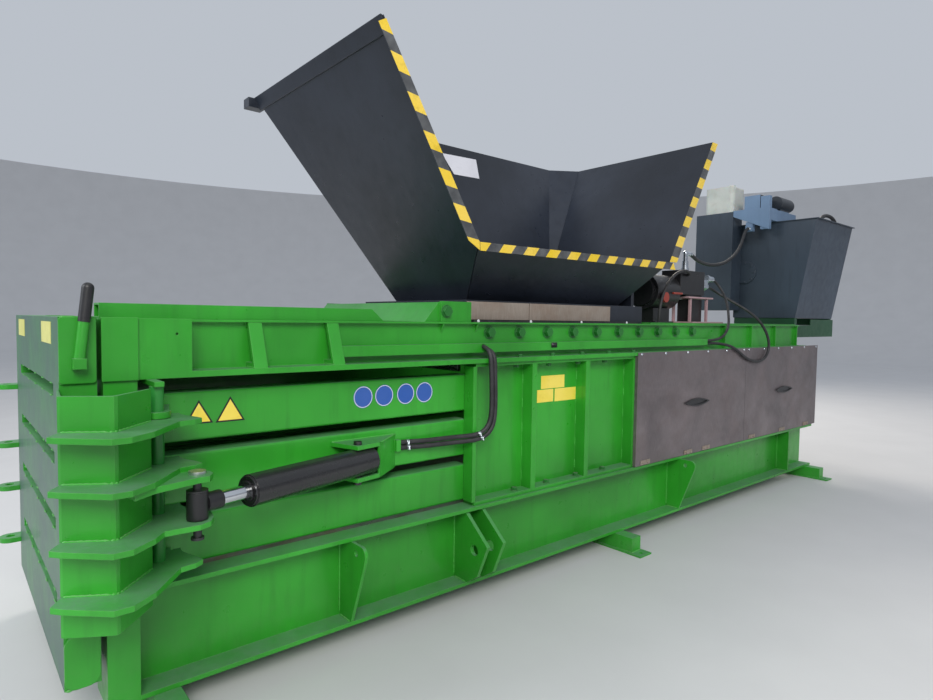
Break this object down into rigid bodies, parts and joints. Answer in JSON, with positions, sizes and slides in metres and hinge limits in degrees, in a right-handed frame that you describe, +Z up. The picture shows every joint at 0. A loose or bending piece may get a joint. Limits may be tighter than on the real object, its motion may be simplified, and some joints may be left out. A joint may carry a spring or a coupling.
{
  "type": "recycling baler",
  "caption": "Horizontal channel baler: welded green frame with slatted press chamber, side-hinged end gate with hydraulic cylinder, black feed hopper, sliding ram and rear oil tank.",
  "frame": {"origin": "on the floor under the middle cross foot, on the machine's centre plane", "axes": "+X from the end gate to the rear power pack, +Y from the near (hinge) side to the far side, +Z up"},
  "size_m": [7.845, 2.125, 3.15],
  "materials": {
    "green_paint": "satin two-pack paint, dusty on upward faces",
    "dark_green_paint": "satin dark green paint",
    "black_paint": "satin black paint on welded sheet",
    "tank_paint": "satin anthracite paint",
    "blue_grey_paint": "satin blue-grey paint",
    "primer_paint": "matt primer",
    "valve_black": "semi-gloss black paint",
    "cylinder_black": "gloss black paint",
    "bolt_green": "overpainted bolts",
    "pin_green": "overpainted steel",
    "hazard_tape": "yellow and black striped film",
    "yellow_film": "printed film, left blank",
    "pale_film": "faded film, left blank",
    "blue_film": "blue film discs, left blank",
    "white_film": "white sign board, left blank",
    "bare_sheet": "bare hot-rolled sheet with faint streaks",
    "bare_strip": "bare steel with light rust",
    "worn_steel": "worn bare steel",
    "knife_steel": "ground knife steel",
    "zinc_fitting": "zinc-plated fittings",
    "chrome_rod": "hard-chromed rod",
    "pin_steel": "plated pin",
    "black_handle": "black moulded pull",
    "white_plastic": "translucent white plastic, dusty",
    "hose_rubber": "black hydraulic hose",
    "grip_rubber": "black rubber grip"
  },
  "bodies": {
    "frame": {"base_beams": "green_paint", "base_plates": "green_paint", "cross_feet": "green_paint", "end_posts": "green_paint", "chamber_floor": "worn_steel", "side_slats": "green_paint", "side_panels": "green_paint", "frame_bolts": "bolt_green", "top_rails": "green_paint", "roof_plates": "green_paint", "roof_beams": "green_paint", "knife_beam": "green_paint", "shear_knife": "knife_steel", "cable_duct": "green_paint", "hopper_left_wall": "black_paint", "hopper_right_wall": "black_paint", "hopper_back_wall": "black_paint", "hopper_front_panel": "black_paint", "hopper_rim": "black_paint", "throat_collar": "black_paint", "throat_strips": "bare_strip", "throat_seal": "hose_rubber", "hazard_tape": "hazard_tape", "yellow_plates": "yellow_film", "safety_discs": "blue_film", "hopper_sign": "white_film", "rear_covers": "bare_sheet", "cover_handles": "black_handle", "rear_frame": "dark_green_paint", "oil_tank": "tank_paint", "tank_covers": "tank_paint", "pump_unit": "blue_grey_paint", "plastic_tank": "white_plastic", "valve_stand": "primer_paint", "valve_block": "valve_black", "valve_fittings": "zinc_fitting", "main_cylinder": "cylinder_black", "hinge_pin": "pin_green", "hinge_brackets": "green_paint", "gate_hose_upper": "hose_rubber", "gate_hose_lower": "hose_rubber", "feed_hose": "hose_rubber", "drop_hose": "hose_rubber", "loop_hose": "hose_rubber", "arc_hose": "hose_rubber"},
    "gate": {"gate_frame": "green_paint", "gate_side_plates": "green_paint", "gate_lock_plates": "green_paint", "gate_plates": "pale_film", "hinge_arms": "green_paint", "hinge_column": "green_paint", "lever_tube": "green_paint", "lever_grip": "grip_rubber", "eye_pin": "pin_steel"},
    "gate_cylinder": {"gate_barrel": "cylinder_black", "gate_gland": "cylinder_black"},
    "gate_piston_rod": {"gate_rod": "chrome_rod"},
    "ram": {"ram_box": "worn_steel", "ram_knife": "knife_steel", "ram_rod": "chrome_rod"}
  },
  "joints": [
    {"name": "gate_hinge", "type": "hinge", "parent": "frame", "child": "gate", "pos_m": [-3.028, -0.815, 0.9], "axis": [0, 0, 1], "range_deg": [0, 40]},
    {"name": "gate_cyl_swing", "type": "hinge", "parent": "frame", "child": "gate_cylinder", "pos_m": [-2.137, -0.762, 0.91], "axis": [0, 0, 1], "range_deg": [-6, 0]},
    {"name": "gate_rod_slide", "type": "slide", "parent": "gate_cylinder", "child": "gate_piston_rod", "axis": [0.9647, 0.2635, 0], "range_m": [0, 0.112]},
    {"name": "ram_slide", "type": "slide", "parent": "frame", "child": "ram", "axis": [-1, 0, 0], "range_m": [0, 1.85]}
  ],
  "couplings": [
    {"joint": "gate_cyl_swing", "follows": "gate_hinge", "ratio": -0.12798},
    {"joint": "gate_rod_slide", "follows": "gate_hinge", "m_per_rad": 0.15549}
  ]
}
